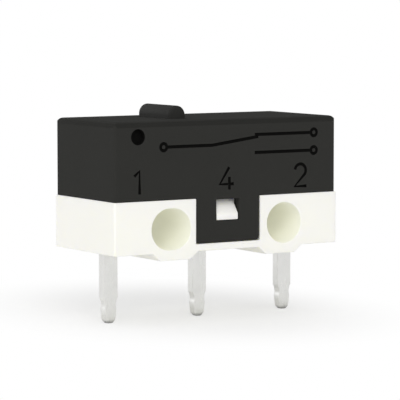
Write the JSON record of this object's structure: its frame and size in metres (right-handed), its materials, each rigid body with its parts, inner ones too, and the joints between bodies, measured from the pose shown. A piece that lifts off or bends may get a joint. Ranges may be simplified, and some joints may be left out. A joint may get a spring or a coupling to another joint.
{
  "type": "micro switch",
  "caption": "Subminiature snap-action changeover switch with a pin plunger, a black cover latched on a white base with through mounting holes, and in-line board terminals.",
  "frame": {"origin": "midway between the axes of the two mounting holes, at half the depth of the case", "axes": "+X along the case towards the normally closed terminal, -Y out of the marked face, +Z towards the plunger"},
  "size_m": [0.0128, 0.0058, 0.0105],
  "materials": {
    "base_plastic": "white moulded thermoplastic, satin",
    "cover_plastic": "black moulded thermoplastic, fine matte grain",
    "plunger_plastic": "black moulded thermoplastic, satin",
    "terminal_plate": "silver-plated brass strip, satin",
    "contact_silver": "silver alloy rivet",
    "blade_copper": "copper alloy spring strip"
  },
  "bodies": {
    "housing": {"base": "base_plastic", "cover": "cover_plastic", "common_terminal": "terminal_plate", "normally_open_terminal": "terminal_plate", "normally_closed_terminal": "terminal_plate", "open_fixed_contact": "contact_silver", "closed_fixed_contact": "contact_silver"},
    "plunger": {"plunger": "plunger_plastic"},
    "blade": {"snap_blade": "blade_copper", "moving_contact": "contact_silver"}
  },
  "joints": [
    {"name": "plunger_slide", "type": "slide", "parent": "housing", "child": "plunger", "axis": [0, 0, -1], "range_m": [0, 0.0006], "stiffness_N_per_m": 1200, "springref_m": -0.00015},
    {"name": "blade_snap", "type": "hinge", "parent": "housing", "child": "blade", "pos_m": [-0.00518, 0, 0.0031], "axis": [0, 1, 0], "range_deg": [0, 2.68], "deforming": ["snap_blade"]}
  ],
  "couplings": [
    {"joint": "blade_snap", "follows": "plunger_slide", "rad_per_m": 77.7}
  ]
}
